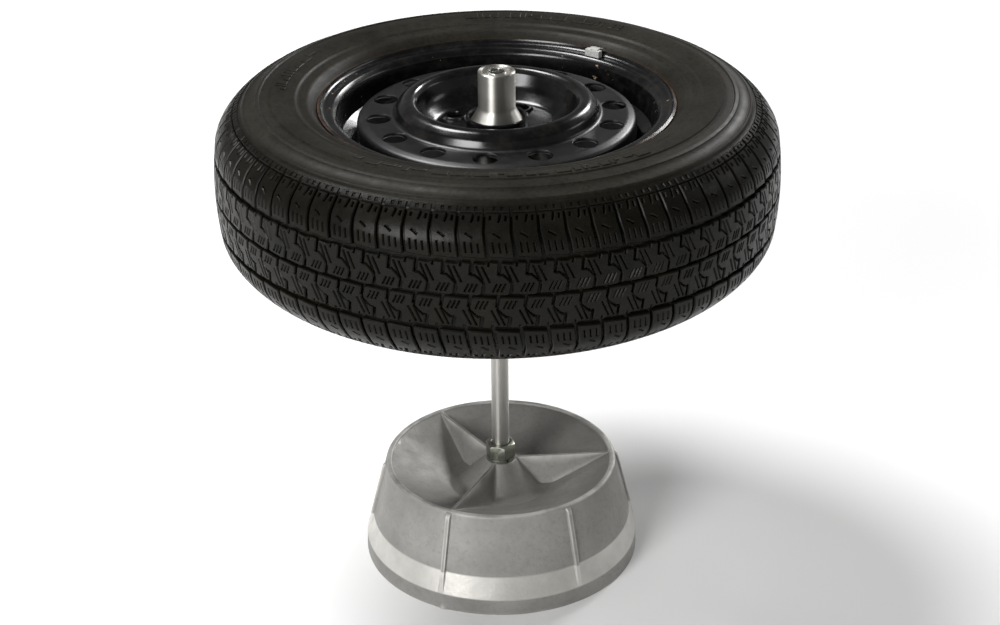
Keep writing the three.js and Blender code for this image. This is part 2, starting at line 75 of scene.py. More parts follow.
LENS = 76.8
CAMERA_PLACE = Vector((0.0009, -2.0234, 1.3253))
CAMERA_PITCH = math.radians(27.2)
CAMERA_ROLL = math.radians(0.632)
FLOOR_HALF = 12


def placed(name, data):
    """A new object in the scene that holds a camera, a light or a mesh."""
    made = bpy.data.objects.new(name, data)
    bpy.context.collection.objects.link(made)
    return made


def make_camera():
    data = bpy.data.cameras.new("camera")
    data.lens = LENS
    data.sensor_width = 36
    data.clip_end = 50
    camera = placed("camera", data)
    look = Matrix.Rotation(math.pi / 2 - CAMERA_PITCH, 4, "X")
    roll = Matrix.Rotation(-CAMERA_ROLL, 4, "Z")
    camera.matrix_world = Matrix.Translation(CAMERA_PLACE) @ look @ roll
    bpy.context.scene.camera = camera


def make_floor():
    mesh = bpy.data.meshes.new("floor")
    signs = ((-1, -1), (1, -1), (1, 1), (-1, 1))
    mesh.from_pydata([(x * FLOOR_HALF, y * FLOOR_HALF, 0) for x, y in signs], [], [(0, 1, 2, 3)])
    material = bpy.data.materials.new("floor")
    material.use_nodes = True
    shader = material.node_tree.nodes["Principled BSDF"]
    fill(shader, {"Base Color": (0.93, 0.93, 0.93, 1), "Roughness": 0.9, "Specular IOR Level": 0.2})
    mesh.materials.append(material)
    floor = placed("floor", mesh)


def area_light(name, place, target, size, watts, size_y=None):
    data = bpy.data.lights.new(name, "AREA")
    data.energy = watts
    data.shape = "ELLIPSE"
    data.size = size
    data.size_y = size_y or size
    light = placed(name, data)
    light.location = place
    light.rotation_euler = (Vector(target) - Vector(place)).to_track_quat("-Z", "Y").to_euler()


def make_world():
    """A plain room that is lighter towards the horizon than overhead."""
    world = bpy.data.worlds.new("studio")
    bpy.context.scene.world = world
    world.use_nodes = True
    nodes, links = world.node_tree.nodes, world.node_tree.links
    direction = nodes.new("ShaderNodeTexCoord")
    parts = nodes.new("ShaderNodeSeparateXYZ")
    links.new(direction.outputs["Generated"], parts.inputs["Vector"])
    height = nodes.new("ShaderNodeMapRange")
    fill(height, {"From Min": 0.05, "From Max": 0.6, "To Min": 0.27, "To Max": 0.07})
    links.new(parts.outputs["Z"], height.inputs["Value"])
    links.new(height.outputs["Result"], nodes["Background"].inputs["Strength"])
    nodes["Background"].inputs["Color"].default_value = (1, 0.99, 0.97, 1)


def make_light():
    make_world()
    area_light("overhead", (-1.73, 0.99, 4.25), (0, 0, 0.45), 1.75, 175)
    area_light("back", (2.61, 3.87, 2.79), (0, 0, 0.45), 1.25, 104)
    area_light("front", (-2.4, -3.55, 2.18), (0, 0, 0.2), 2.3, 172, 2.2)
    area_light("side", (4.2, 1.1, 2.3), (0, 0, 0.2), 1.9, 9, 0.9)
    bpy.context.scene.view_settings.view_transform = "Standard"


# ------------------------------ mesh helpers


SHARP = 32                      # degrees between two faces from which their edge is a hard one


def mesh_of(name, points, faces):
    """A mesh from points in millimetres."""
    mesh = bpy.data.meshes.new(name)
    mesh.from_pydata((np.asarray(points) * MM).tolist(), [], faces)
    return mesh


def face_outwards(mesh):
    bm = bmesh.new()
    bm.from_mesh(mesh)
    bmesh.ops.recalc_face_normals(bm, faces=bm.faces)
    bm.to_mesh(mesh)
    bm.free()


def shade(mesh, sharp):
    mesh.shade_smooth()
    mesh.set_sharp_from_angle(angle=math.radians(sharp))


def finish_object(name, mesh, body, slot, sharp=SHARP):
    """Makes a piece of a mesh. It rides on a body and takes its finish from a slot."""
    mesh.validate()
    face_outwards(mesh)
    shade(mesh, sharp)
    mesh.materials.append(LOOKS[slot])
    piece = placed(name, mesh)
    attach(piece, body)
    return piece


def rounded(outline, steps=4):
    """The closed outline with an arc at each corner that carries a third value, its radius."""
    count = len(outline)
    result = []
    for i, corner in enumerate(outline):
        here = np.array(corner[:2], float)
        fillet = corner[2] if len(corner) > 2 else 0
        if not fillet:
            result.append(tuple(here))
            continue
        before = np.array(outline[i - 1][:2], float) - here
        after = np.array(outline[(i + 1) % count][:2], float) - here
        before_length, after_length = np.linalg.norm(before), np.linalg.norm(after)
        before, after = before / before_length, after / after_length
        half = math.acos(np.clip(before @ after, -1, 1)) / 2
        reach = min(fillet / math.tan(half), 0.49 * before_length, 0.49 * after_length)
        start, end = here + before * reach, here + after * reach
        for k in range(steps + 1):
            t = k / steps
            bend = (1 - t) ** 2 * start + 2 * t * (1 - t) * here + t * t * end
            result.append(tuple(bend))
    return result


def lathe(outline, segments):
    """Points and faces of an outline turned about Z. A point at radius 0 becomes one pole, and an
    outline that starts away from the axis is closed."""
    points, rings = [], []
    for r, z in outline:
        if r < ON_AXIS:
            rings.append([len(points)] * segments)
            points.append((0, 0, z))
            continue
        rings.append(list(range(len(points), len(points) + segments)))
        points += [
            (r * math.cos(TAU * k / segments), r * math.sin(TAU * k / segments), z)
            for k in range(segments)
        ]
    faces = []
    pairs = list(zip(rings, rings[1:]))
    if outline[0][0] > ON_AXIS:
        pairs.append((rings[-1], rings[0]))
    for lower, upper in pairs:
        for k in range(segments):
            n = (k + 1) % segments
            corners = [lower[k], lower[n], upper[n], upper[k]]
            face = [c for i, c in enumerate(corners) if c not in corners[:i]]
            if len(face) > 2:
                faces.append(face)
    return points, faces


def ring_faces(rings, width, joined=False):
    """Faces between rings of points, and from the last ring to the first where they are joined."""
    return [(i * width + k, i * width + (k + 1) % width,
             (i + 1) % rings * width + (k + 1) % width, (i + 1) % rings * width + k)
            for i in range(rings if joined else rings - 1) for k in range(width)]


def turned(name, outline, body, slot, segments=96, steps=4):
    """A piece turned about Z."""
    points, faces = lathe(rounded(outline, steps), segments)
    return finish_object(name, mesh_of(name, points, faces), body, slot)


def cutter(outline, place=(0, 0, 0), turn=None, segments=40):
    """A turned object that only serves to cut another one."""
    mesh = mesh_of("cutter", *lathe(rounded(outline), segments))
    if turn:
        mesh.transform(turn)
    mesh.transform(shift_to(place))
    face_outwards(mesh)
    return placed("cutter", mesh)


def shift_to(place):
    return Matrix.Translation(Vector(place) * MM)


def add_boolean(piece, tool, operation):
    modifier = piece.modifiers.new("cut", "BOOLEAN")
    modifier.operation = operation
    modifier.solver = "EXACT"
    modifier.object = tool


def applied(piece):
    """The piece's mesh with its modifiers applied."""
    bpy.context.view_layer.update()
    graph = bpy.context.evaluated_depsgraph_get()
    return bpy.data.meshes.new_from_object(piece.evaluated_get(graph))


def apply_to(piece, sharp):
    piece_mesh = applied(piece)
    piece.modifiers.clear()
    piece.data = piece_mesh
    shade(piece_mesh, sharp)


def boolean(piece, tools, operation, sharp=SHARP):
    """Cuts or joins the piece with other objects, which are then removed."""
    for tool in tools:
        add_boolean(piece, tool, operation)
    apply_to(piece, sharp)
    for tool in tools:
        bpy.data.objects.remove(tool)


def around(count, first_degrees=0.0):
    return [math.radians(first_degrees) + TAU * k / count for k in range(count)]


def on_circle(r, angle, z):
    return (r * math.cos(angle), r * math.sin(angle), z)


def ring_of(outline, r, angles, segments):
    """Cutters of one outline on a circle."""
    return [cutter(outline, on_circle(r, a, 0), segments=segments) for a in angles]


# ------------------------------ material helpers


def fill(node, values):
    """Sets a node's own inputs."""
    for name, value in values.items():
        node.inputs[name].default_value = value


class Shader:
    """A node material, built one node at a time around its Principled shader."""

    def __init__(self, name, color, roughness, metallic=0.0, specular=0.5):
        self.material = bpy.data.materials.new(name)
        self.material.use_nodes = True
        self.tree = self.material.node_tree
        self.main = self.tree.nodes["Principled BSDF"]
        fill(self.main, {"Base Color": (*color, 1), "Roughness": roughness, "Metallic": metallic,
                         "Specular IOR Level": specular})
        self.place = self.node("ShaderNodeTexCoord").outputs["Object"]
        self.height = None

    def node(self, kind, **settings):
        made = self.tree.nodes.new(kind)
        for key, value in settings.items():
            setattr(made, key, value)
        return made

    def link(self, source, target):
        self.tree.links.new(source, target)

    def stretched(self, scale):
        mapping = self.node("ShaderNodeMapping")
        mapping.inputs["Scale"].default_value = scale
        self.link(self.place, mapping.inputs["Vector"])
        return mapping.outputs["Vector"]

    def noise(self, scale, detail=4.0, rough=0.55, stretch=None):
        noise = self.node("ShaderNodeTexNoise")
        fill(noise, {"Scale": scale, "Detail": detail, "Roughness": rough})
        self.link(self.stretched(stretch) if stretch else self.place, noise.inputs["Vector"])
        return noise.outputs["Fac"]

    def ramp(self, source, low, high, from_value=0.0, to_value=1.0):
        """Maps a value between low and high to from_value and to_value, and holds it outside."""
        mapped = self.node("ShaderNodeMapRange")
        fill(mapped, {"From Min": low, "From Max": high, "To Min": from_value, "To Max": to_value})
        self.link(source, mapped.inputs["Value"])
        return mapped.outputs["Result"]

    def maths(self, operation, first, second):
        made = self.node("ShaderNodeMath", operation=operation)
        for socket, value in zip(made.inputs, (first, second)):
            if isinstance(value, (int, float)):
                socket.default_value = value
            else:
                self.link(value, socket)
        return made.outputs["Value"]

    def times(self, first, second):
        return self.maths("MULTIPLY", first, second)

    def axis(self, name):
        parts = self.node("ShaderNodeSeparateXYZ")
        self.link(self.place, parts.inputs["Vector"])
        return parts.outputs[name]

    def radius(self):
        """Distance from the Z axis, in metres."""
        flat = self.stretched((1, 1, 0))
        length = self.node("ShaderNodeVectorMath", operation="LENGTH")
        self.link(flat, length.inputs[0])
        return length.outputs["Value"]

    def tint(self, factor, color):
        """Blends the base colour so far towards a colour by the factor."""
        mix = self.node("ShaderNodeMix", data_type="RGBA")
        source = self.main.inputs["Base Color"]
        if source.is_linked:
            self.link(source.links[0].from_socket, mix.inputs["A"])
        else:
            mix.inputs["A"].default_value = source.default_value
        mix.inputs["B"].default_value = (*color, 1)
        self.link(factor, mix.inputs["Factor"])
        self.link(mix.outputs["Result"], source)

    def rough(self, value):
        self.link(value, self.main.inputs["Roughness"])

    def bump(self, height, distance):
        """Adds a bump, in millimetres of height, over the ones so far."""
        bump = self.node("ShaderNodeBump")
        bump.inputs["Distance"].default_value = distance * MM
        self.link(height, bump.inputs["Height"])
        if self.height:
            self.link(self.height, bump.inputs["Normal"])
        self.height = bump.outputs["Normal"]
        self.link(self.height, self.main.inputs["Normal"])


# ------------------------------ materials


def cast_aluminium():
    """Sand-cast aluminium: a fine grain and soft cloudy tone, a turned chamfer lightened with painted
    light, a painted highlight along the dish's lip, and edges lightened partly as wear and partly as
    painted highlight.
    """
    s = Shader("cast_aluminium", (0.25, 0.243, 0.228), 0.56, 0.5)
    s.tint(s.ramp(s.noise(11, 5), 0.35, 0.7), (0.37, 0.361, 0.342))
    s.tint(s.ramp(s.noise(210, 4, 0.7), 0.5, 0.72, 0, 0.4), (0.17, 0.166, 0.155))
    height, out = s.axis("Z"), s.radius()
    above_foot = s.ramp(height, 0.0175, 0.0195)
    below_crease = s.ramp(height, 0.0415, 0.0435, 1, 0)
    chamfer = s.times(s.times(above_foot, below_crease), s.ramp(out, 0.1385, 0.1395))
    # The chamfer's light tint is partly its turned finish and partly painted light, lighter where it
    # faces up.
    streaks = s.ramp(s.noise(30, 4), 0.3, 0.75, 0.95, 0.55)
    s.tint(s.times(chamfer, streaks), (0.72, 0.705, 0.665))
    # Painted highlight: a bright thin line along the dish's lip.
    lip = s.times(s.ramp(height, 0.106, 0.1072), s.ramp(out, 0.115, 0.119))
    s.tint(s.times(lip, s.ramp(s.noise(28, 3), 0.4, 0.6, 0.1, 0.7)), (0.75, 0.735, 0.7))
    # Convex edges made lighter: partly wear, partly painted highlight.
    edge_wear_and_highlight = s.ramp(s.node("ShaderNodeNewGeometry").outputs["Pointiness"], 0.505, 0.55, 0, 0.75)
    s.tint(s.times(edge_wear_and_highlight, s.ramp(s.noise(35, 3), 0.3, 0.6, 0.4, 1)), (0.72, 0.705, 0.67))
    s.link(s.maths("MAXIMUM", s.times(chamfer, 0.85), 0.5), s.main.inputs["Metallic"])
    rough = s.ramp(s.noise(60, 4), 0.3, 0.7, 0.48, 0.62)
    s.rough(s.maths("SUBTRACT", rough, s.times(chamfer, 0.14)))
    s.bump(s.noise(1100, 3, 0.6), 0.1)
    s.bump(s.noise(330, 4, 0.6), 0.22)
    s.bump(s.noise(45, 3), 0.5)
    return s.material


def ringed(shader, amount):
    """Stretches the gloss across fine rings that run round the Z axis."""
    tangent = shader.node("ShaderNodeTangent", direction_type="RADIAL", axis="Z")
    fill(shader.main, {"Anisotropic": amount, "Anisotropic Rotation": 0.25})
    shader.link(tangent.outputs["Tangent"], shader.main.inputs["Tangent"])


def drawn_steel():
    """Bright ground bar, with fine rings round it and faint lines along it."""
    s = Shader("drawn_steel", (0.46, 0.45, 0.42), 0.4, 1.0)
    lines = s.noise(55, 3, 0.6, (60, 60, 0.5))
    s.tint(s.ramp(s.noise(20, 4), 0.4, 0.7, 0, 0.5), (0.36, 0.35, 0.32))
    s.tint(s.ramp(lines, 0.45, 0.7, 0, 0.4), (0.62, 0.61, 0.58))
    s.rough(s.ramp(lines, 0.3, 0.7, 0.34, 0.46))
    s.bump(lines, 0.006)
    ringed(s, 0.8)
    return s.material


def turned_steel():
    """Steel off the lathe, with faint rings round it, and painted shade on the cone below the disc,
    where the wheel shades it.
    """
    s = Shader("turned_steel", (0.62, 0.605, 0.565), 0.42, 1.0)
    rings = s.noise(22, 2, 0.5, (0.6, 0.6, 90))
    # Painted shade: the cone under the disc is tinted nearly black.
    s.tint(s.ramp(s.axis("Z"), 0.494, 0.502, 0.97, 0), (0.03, 0.028, 0.025))
    s.tint(s.ramp(s.noise(24, 4), 0.4, 0.75, 0, 0.5), (0.48, 0.47, 0.435))
    s.rough(s.ramp(rings, 0.3, 0.7, 0.36, 0.5))
    s.bump(rings, 0.0015)
    ringed(s, 0.85)
    return s.material


def zinc_plate():
    """Dull zinc plate with a greenish grey tone."""
    s = Shader("zinc_plate", (0.42, 0.43, 0.37), 0.36, 0.95)
    s.tint(s.ramp(s.noise(120, 4), 0.4, 0.7), (0.29, 0.3, 0.25))
    s.rough(s.ramp(s.noise(200, 3), 0.3, 0.7, 0.28, 0.46))
    s.bump(s.noise(500, 3), 0.04)
    return s.material


def one_tone(name, color, roughness, metallic, gloss, grain):
    """A finish of one colour. Its gloss is a noise scale and the roughness at both ends, and its
    grain a noise scale, a detail and a height."""
    s = Shader(name, color, roughness, metallic)
    s.rough(s.ramp(s.noise(gloss[0], 3), 0.3, 0.7, *gloss[1:]))
    s.bump(s.noise(*grain[:2]), grain[2])
    return s.material


def vial_glass():
    s = Shader("vial_glass", (0.96, 0.98, 0.96), 0.02)
    fill(s.main, {"Transmission Weight": 1.0, "IOR": 1.49})
    s.tint(s.ramp(s.noise(80, 2), 0.4, 0.6, 0, 0.3), (0.9, 0.96, 0.9))
    return s.material


def vial_liquid():
    s = Shader("vial_liquid", (0.12, 0.13, 0.06), 0.08)
    s.tint(s.ramp(s.noise(60, 2), 0.4, 0.6), (0.1, 0.115, 0.05))
    s.main.inputs["Coat Weight"].default_value = 0.5
    return s.material


def black_enamel():
    """Gloss black enamel on pressed steel, with a slight ripple, dust in places, small rusty chips on
    the rim and brown on the flange's lip. It is satin on the disc's ledge, and rough behind the disc,
    where painted shade tints its reflections nearly black."""
    s = Shader("black_enamel", (0.0028, 0.0028, 0.0032), 0.12, 0.0, 0.5)
    height, out = s.axis("Z"), s.radius()
    dust = s.ramp(s.noise(60, 6, 0.7), 0.48, 0.75, 0, 0.3)
    s.tint(dust, (0.045, 0.04, 0.034))
    on_rim = s.ramp(out, 0.143, 0.148)
    chips = s.times(s.ramp(s.noise(150, 3, 0.6), 0.68, 0.71), s.ramp(s.noise(13, 3), 0.53, 0.6))
    s.tint(s.times(chips, on_rim), (0.33, 0.24, 0.16))
    lip = s.ramp(out, 0.1795, 0.181)
    s.tint(s.times(lip, s.ramp(s.noise(45, 4, 0.6), 0.4, 0.62, 0.25, 1)), (0.1, 0.06, 0.04))
    gloss = s.ramp(s.noise(26, 5, 0.6), 0.35, 0.75, 0.15, 0.32)
    inside_well = s.times(s.ramp(height, 0.492, 0.5, 1, 0), s.ramp(out, 0.1472, 0.1478, 1, 0))
    behind = s.maths("MAXIMUM", inside_well, s.ramp(height, 0.44, 0.45, 1, 0))
    ledge = s.times(s.ramp(out, 0.101, 0.106), s.ramp(out, 0.1455, 0.144, 0, 1))
    satin = s.times(s.times(ledge, s.ramp(height, 0.5, 0.505)), 0.36)
    s.rough(s.maths("MAXIMUM", s.maths("MAXIMUM", gloss, satin), s.times(behind, 0.75)))
    # Painted shade: behind the disc the reflections are tinted nearly black.
    shaded_gloss = s.node("ShaderNodeMix", data_type="RGBA")
    fill(shaded_gloss, {"A": (1, 1, 1, 1), "B": (0.1, 0.09, 0.08, 1)})
    s.link(behind, shaded_gloss.inputs["Factor"])
    s.link(shaded_gloss.outputs["Result"], s.main.inputs["Specular Tint"])
    s.bump(s.noise(70, 3), 0.1)
    s.bump(s.noise(16, 2), 0.5)
    return s.material


def tyre_rubber():
    """Aged tyre rubber: satin, dusty in patches, rusty at the bead, with fine rings on its sides."""
    s = Shader("tyre_rubber", (0.0056, 0.0052, 0.0037), 0.46, 0.0, 0.12)
    out = s.radius()
    s.tint(s.ramp(s.noise(22, 6, 0.65), 0.42, 0.72, 0, 0.5), (0.0145, 0.013, 0.0088))
    side = s.ramp(out, 0.262, 0.255)
    side_dust = s.ramp(s.noise(12, 5, 0.6), 0.35, 0.7, 0.3, 0.9)
    s.tint(s.times(side, side_dust), (0.0265, 0.0238, 0.0178))
    bead = s.ramp(out, 0.1825, 0.1845, 1, 0)
    s.tint(s.times(bead, s.ramp(s.noise(35, 5), 0.35, 0.6, 0.3, 1)), (0.045, 0.021, 0.011))
    s.tint(s.ramp(s.noise(260, 5, 0.65), 0.45, 0.7, 0, 0.6), (0.003, 0.003, 0.003))
    rough = s.ramp(s.noise(50, 5), 0.35, 0.7, 0.26, 0.4)
    s.rough(s.maths("ADD", rough, s.times(side, 0.12)))
    s.bump(s.noise(800, 3), 0.06)
    s.bump(s.noise(150, 5, 0.6), 0.22)
    rings = s.node("ShaderNodeCombineXYZ")
    s.link(out, rings.inputs["X"])
    fine = s.noise(700, 2)
    s.link(rings.outputs["Vector"], fine.node.inputs["Vector"])
    s.bump(s.times(fine, side), 0.09)
    return s.material


def weight_metal():
    """Plated clip-on weight: bright, with small dents."""
    s = Shader("weight_metal", (0.86, 0.86, 0.84), 0.3, 0.45)
    s.tint(s.ramp(s.noise(260, 4), 0.5, 0.72, 0, 0.5), (0.5, 0.5, 0.49))
    s.rough(s.ramp(s.noise(180, 3), 0.3, 0.7, 0.16, 0.38))
    s.bump(s.noise(240, 3), 0.25)
    return s.material


LOOKS = {                       # the finish of each slot
    "cast_aluminium": cast_aluminium(),
    "bright_steel": drawn_steel(),
    "turned_steel": turned_steel(),
    "zinc_plate": zinc_plate(),
    "hard_steel": one_tone(
        "ground_steel", (0.68, 0.68, 0.67), 0.16, 1.0, (400, 0.12, 0.24), (900, 2, 0.01)),
    "vial_metal": one_tone(
        "vial_metal", (0.82, 0.81, 0.78), 0.26, 1.0, (300, 0.2, 0.34), (700, 2, 0.015)),
    "vial_glass": vial_glass(),
    "vial_liquid": vial_liquid(),
    "black_enamel": black_enamel(),
    "tyre_rubber": tyre_rubber(),
    "pad_rubber": one_tone(
        "pad_rubber", (0.03, 0.03, 0.03), 0.7, 0.0, (90, 0.55, 0.8), (600, 3, 0.04)),
    "cap_plastic": one_tone(
        "cap_plastic", (0.018, 0.018, 0.019), 0.42, 0.0, (150, 0.34, 0.52), (500, 3, 0.02)),
    "weight_metal": weight_metal(),
}
LOOKS["valve_rubber"] = LOOKS["pad_rubber"]


# ------------------------------ base casting

FIRST_ARM = 4.0
SECTORS = 6                     # half sectors, each from an arm to the middle between two arms
RIDGE_HALF = 1.5
ARM_SLOPE = 0.39                # sideways run of an arm's flank for each millimetre down
RIB_HALF = 2.7
RIB_PROUD = 3.0
FLASH_ANGLE = math.radians(245)     # a lump of casting flash left at the foot
FLASH_PROUD = 2.2
SKIRT_Z = 18.8                  # foot of the chamfer
CREASE_Z = 42.5                 # top of the chamfer
LIP_Z = top("base_casting")
RIDGE_Z = 105.9                 # height of the star's arms
BOSS_R = 16.4                   # the dish lies outside this radius
COLUMNS = 40                    # points in a half sector


def base_outline():
    """The closed outline of the casting between its ribs and arms, from the bore's foot round
    the inside, up the outside and down through the dish."""
    foot_r = radius("base_casting")
    return [
        (10.05, 64), (30, 64, 3), (48, 71.5, 6), (59, 71.5, 8), (112.8, 97.7, 6), (119.5, 95.7, 6),
        (135.8, CREASE_Z, 8), (143.5, SKIRT_Z, 4), (foot_r - 6.5, 0, 1.2), (foot_r, 0, 1.4),
        (foot_r - 0.7, SKIRT_Z, 1.2), (142.3, CREASE_Z, 0.9), (126.3, LIP_Z - 1.4, 1.6),
        (124.6, LIP_Z, 1.2), (120.9, LIP_Z, 1.2), (119.3, LIP_Z - 1.8, 2), (57, 78, 10), (44, 78, 10),
        (16.5, 106, 1.2), (10.05, 106, 0.4),
    ]


def dense(outline, step):
    """The closed outline with points added so that none are further apart than the step."""
    result = []
    for a, b in zip(outline, outline[1:] + outline[:1]):
        parts = max(1, math.ceil(math.dist(a, b) / step))
        result += [(a[0] + (b[0] - a[0]) * k / parts, a[1] + (b[1] - a[1]) * k / parts)
                   for k in range(parts)]
    return result


def smooth_max(a, b, k):
    h = np.clip(0.5 + 0.5 * (a - b) / k, 0, 1)
    return b + (a - b) * h + k * h * (1 - h)


def smooth_step(x):
    x = np.clip(x, 0, 1)
    return x * x * (3 - 2 * x)


def sector_angles(r, near, far):
    """Angles from an arm (0) to the middle of a sector (60 degrees), with columns at set sideways
    distances from both ends and the rest spread evenly between them."""
    limit = TAU / SECTORS
    start = [math.asin(min(d / r, 0.8)) for d in near]
    end = [limit - math.asin(min(d / r, 0.8)) for d in reversed(far)]
    scale = min(1.0, 0.45 * limit / max(start[-1], limit - end[0]))
    start = [a * scale for a in start]
    end = [limit - (limit - a) * scale for a in end]
    middle = COLUMNS - len(start) - len(end)
    inner = [start[-1] + (end[0] - start[-1]) * (k + 1) / (middle + 1) for k in range(middle)]
    return start + inner + end


RIB_COLUMNS = (0, 1.2, 2.1, 2.7, 3.3, 4.1, 5.4, 7.5, 10)


def arm_columns(drop):
    """Sideways distances of the columns across an arm whose ridge stands this far above the dish."""
    flank = ARM_SLOPE * max(drop, 0.01)
    across = (0, 0.7, 1.0)
    down = (0.25, 0.5, 0.75, 0.93)
    past = (0.9, 2.4, 5.0)
    return (*(RIDGE_HALF * k for k in across), *(RIDGE_HALF + flank * k for k in down),
            *(RIDGE_HALF + flank + k for k in past))


def base_casting():
    outline = dense(rounded(base_outline(), 5), 3.0)
    widest = max(range(len(outline)), key=lambda i: outline[i][0])
    crest = max(range(len(outline)), key=lambda i: outline[i][1])
    limit = TAU / SECTORS
    points = []
    for i, (r, z) in enumerate(outline):
        outside = widest - 4 <= i <= crest
        in_dish = i > crest and r > BOSS_R
        shape = dish_point if in_dish else wall_point if outside else plain_point
        near = arm_columns(RIDGE_Z - z) if in_dish else RIB_COLUMNS
        half = sector_angles(r, near, RIB_COLUMNS)
        for sector in range(SECTORS):
            start = math.radians(FIRST_ARM) + sector * TAU / SECTORS
            mirrored = sector % 2 == 1
            angles = [limit - a for a in reversed(half)] if mirrored else half
            for angle in angles[:-1]:
                arm_side = limit - angle if mirrored else angle
                points.append(shape(r, z, start + angle, arm_side))
    faces = ring_faces(len(outline), (COLUMNS - 1) * SECTORS, joined=True)
    mesh = mesh_of("casting", points, faces)
    piece = finish_object("casting", mesh, "stand", "cast_aluminium", 38)
    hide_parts("base_casting")


def plain_point(r, z, angle, arm_side):
    return on_circle(r, angle, z)


def dish_point(r, z, angle, arm_side):
    """A point of the dish, raised where an arm of the star runs over it."""
    sideways = abs(r * math.sin(arm_side))
    arm_z = RIDGE_Z - max(sideways - RIDGE_HALF, 0) / ARM_SLOPE
    return on_circle(r, angle, z if arm_z < z - 4 else float(smooth_max(arm_z, z, 2.2)))


def wall_point(r, z, angle, arm_side):
    """A point of the outer wall, pushed out where a rib runs down it."""
    sideways = abs(r * math.sin(min(arm_side, TAU / SECTORS - arm_side)))
    across = 1 - smooth_step((sideways - RIB_HALF + 0.7) / 1.4)
    if z > CREASE_Z:
        tall = RIB_PROUD * smooth_step((LIP_Z - 1.2 - z) / 2.4)
    else:
        tall = RIB_PROUD * np.clip((z - SKIRT_Z + 1) / (CREASE_Z - SKIRT_Z), 0, 1)
    flash = math.exp(-((angle - FLASH_ANGLE) * r / 5.0) ** 2) * smooth_step((7 - z) / 5)
    return on_circle(r + tall * across + FLASH_PROUD * flash, angle, z)


# ------------------------------ post, nuts and washers

ROD_R = 9.525
NUT_FLATS = 28.575
NUT_TURN = -14.5
WASHER_BORE_R = ROD_R + 0.6


def post():
    low, high = foot("post"), top("post")
    bar = turned("post_bar", [
        (0, low), (ROD_R, low, 1.5), (ROD_R, 497, 0.4), (8, 499, 0.4), (8, high, 0.6), (5.8, high),
        (5.8, high - 10), (0, high - 10),
    ], "stand", "bright_steel", 64)
    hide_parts("post")


def hex_nut(name, node):
    """A full nut: a hexagon cut by a cone at each face, with a countersunk bore."""
    low, high = foot(node), top(node)
    corner = NUT_FLATS / 2 / math.cos(math.pi / 6)
    points = [on_circle(corner, a, z) for z in (low, high) for a in around(6, NUT_TURN)]
    sides = [(k, (k + 1) % 6, (k + 1) % 6 + 6, k + 6) for k in range(6)]
    prism = mesh_of(name, points, [tuple(range(5, -1, -1)), tuple(range(6, 12)), *sides])
    nut = finish_object(name, prism, "stand", "zinc_plate")
    bulge, face_r, bevel = corner + 0.3, NUT_FLATS / 2 - 0.3, 1.35
    cone = cutter([
        (0, low - 0.01), (face_r, low - 0.01), (bulge, low + bevel), (bulge, high - bevel),
        (face_r, high + 0.01), (0, high + 0.01),
    ], segments=96)
    boolean(nut, [cone], "INTERSECT", 20)
    mouth_r, thread_r = ROD_R + 1.6, ROD_R + 0.4
    bore = cutter([
        (0, low - 1), (mouth_r, low - 1), (thread_r, low + 1.2), (thread_r, high - 1.2),
        (mouth_r, high + 1), (0, high + 1),
    ], segments=64)
    boolean(nut, [bore], "DIFFERENCE", 20)
    soften(nut, 0.25)
    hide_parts(node)


def soften(piece, width):
    """A small round on every sharp edge."""
    bevel = piece.modifiers.new("edges", "BEVEL")
    bevel.width = width * MM
    bevel.segments = 2
    bevel.limit_method = "ANGLE"
    bevel.angle_limit = math.radians(30)
    bevel.harden_normals = False
    apply_to(piece, 40)


def spring_washer():
    """One flat turn with its ends a little apart."""
    low, high = foot("lock_washer"), top("lock_washer")
    inner, outer = WASHER_BORE_R, 15.3
    start, sweep, steps = math.radians(-56), math.radians(352), 88
    section = rounded([(inner, low, 0.3), (outer, low, 0.5), (outer, high, 0.5), (inner, high, 0.3)], 3)
    points = [on_circle(r, start + sweep * k / steps, z) for k in range(steps + 1)
              for r, z in section]
    n = len(section)
    ends = [tuple(range(n - 1, -1, -1)), tuple(steps * n + c for c in range(n))]
    faces = ring_faces(steps + 1, n) + ends
    mesh = mesh_of("spring_washer", points, faces)
    washer = finish_object("spring_washer", mesh, "stand", "zinc_plate")
    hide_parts("lock_washer")


def flat_washer():
    low, high = foot("plain_washer"), top("plain_washer")
    inner, outer = WASHER_BORE_R, radius("plain_washer")
    washer = turned("flat_washer", [
        (inner, low, 0.3), (outer, low, 0.6), (outer, high, 0.6), (inner, high, 0.3),
    ], "stand", "zinc_plate", 72)
    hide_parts("plain_washer")


# ------------------------------ head and vial

HEAD_R = 19.05
HEAD_BORE_R = 12.5
CONE_WALL = 7
SCREW_CIRCLE_R = 12.4
SCREW_HOLE_R = 1.5
SCREW_ANGLES = around(3, 90)


def screw_holes(low, high, segments):
    """Cutters for the three screw holes."""
    outline = [(0, low), (SCREW_HOLE_R, low), (SCREW_HOLE_R, high), (0, high)]
    return ring_of(outline, SCREW_CIRCLE_R, SCREW_ANGLES, segments)


def balancer_head():
    low, high = foot("balancer_head"), top("balancer_head")
    cone_r = radius("balancer_head")
    cone_z = low + 4
    slope = math.tan(math.radians(30))
    flare_z = cone_z + (cone_r - HEAD_R) / slope
    inner_r = cone_r - CONE_WALL
    bore_z = cone_z + (inner_r - HEAD_BORE_R) / slope
    head = turned("head", [
        (0, 549), (8.3, 549), (8.3, 538.5), (HEAD_BORE_R, 538.5, 0.4), (HEAD_BORE_R, bore_z, 2),
        (inner_r, cone_z, 2), (inner_r, low, 0.8), (cone_r, low, 0.8), (cone_r, cone_z, 1.5),
        (HEAD_R, flare_z, 7), (HEAD_R, high, 1.3), (15, high, 0.7), (15, 551.5, 0.3), (0, 551.5),
    ], "head", "turned_steel", 128, steps=6)
    boolean(head, screw_holes(545.5, 552.5, 20), "DIFFERENCE")
    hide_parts("balancer_head")


